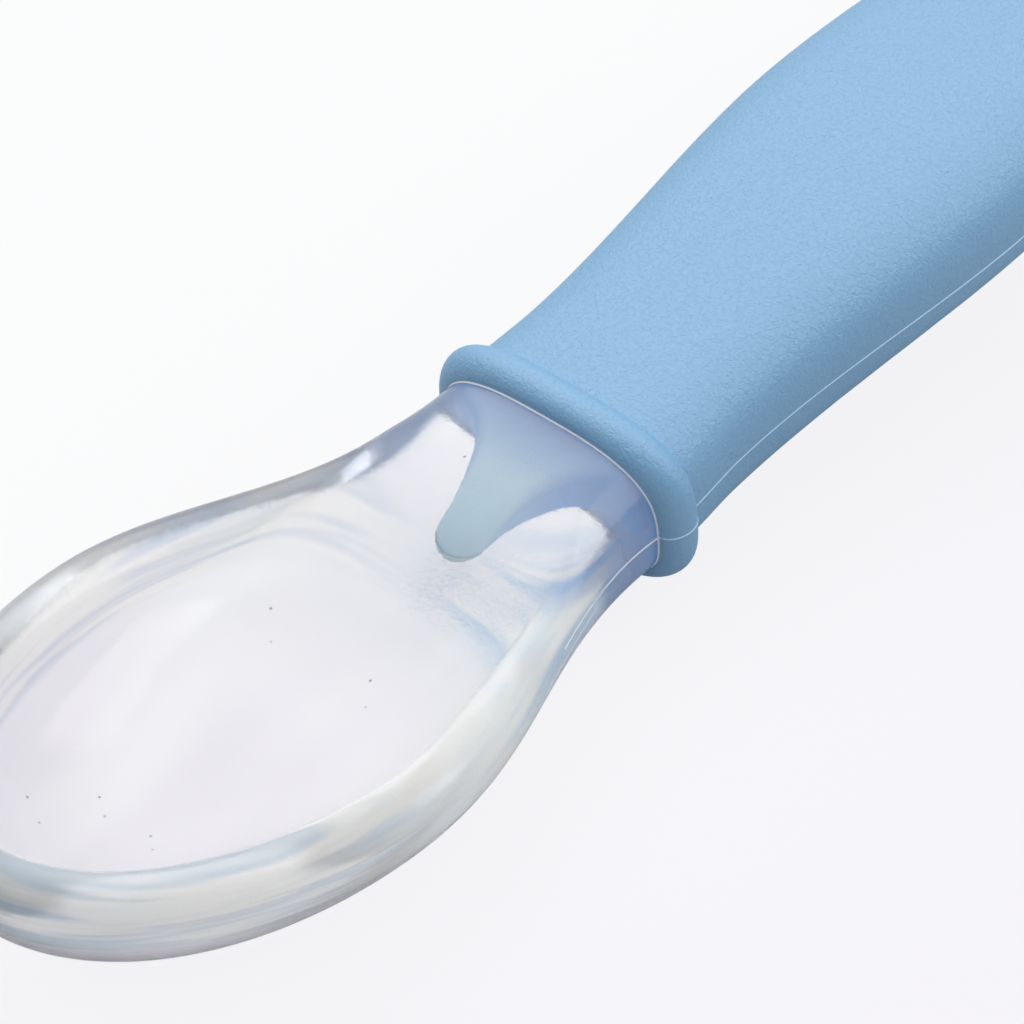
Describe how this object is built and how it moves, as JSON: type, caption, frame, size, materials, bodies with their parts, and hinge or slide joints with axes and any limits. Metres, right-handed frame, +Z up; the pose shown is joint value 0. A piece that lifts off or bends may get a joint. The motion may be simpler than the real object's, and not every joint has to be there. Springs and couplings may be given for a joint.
{
  "type": "baby spoon",
  "caption": "Baby feeding spoon with an arched rigid handle, a beaded collar and a clear soft bowl moulded round the handle's tongue.",
  "frame": {"origin": "middle of the spoon's footprint on the table that it rests on", "axes": "+X along the spoon from the bowl to the tail, +Y across it, +Z up out of the bowl"},
  "size_m": [0.1444, 0.024, 0.0139],
  "materials": {
    "silicone": "clear glossy silicone rubber",
    "plastic": "fine-grained satin light blue plastic"
  },
  "bodies": {
    "root": {"bowl": "silicone", "handle": "plastic"}
  },
  "joints": []
}
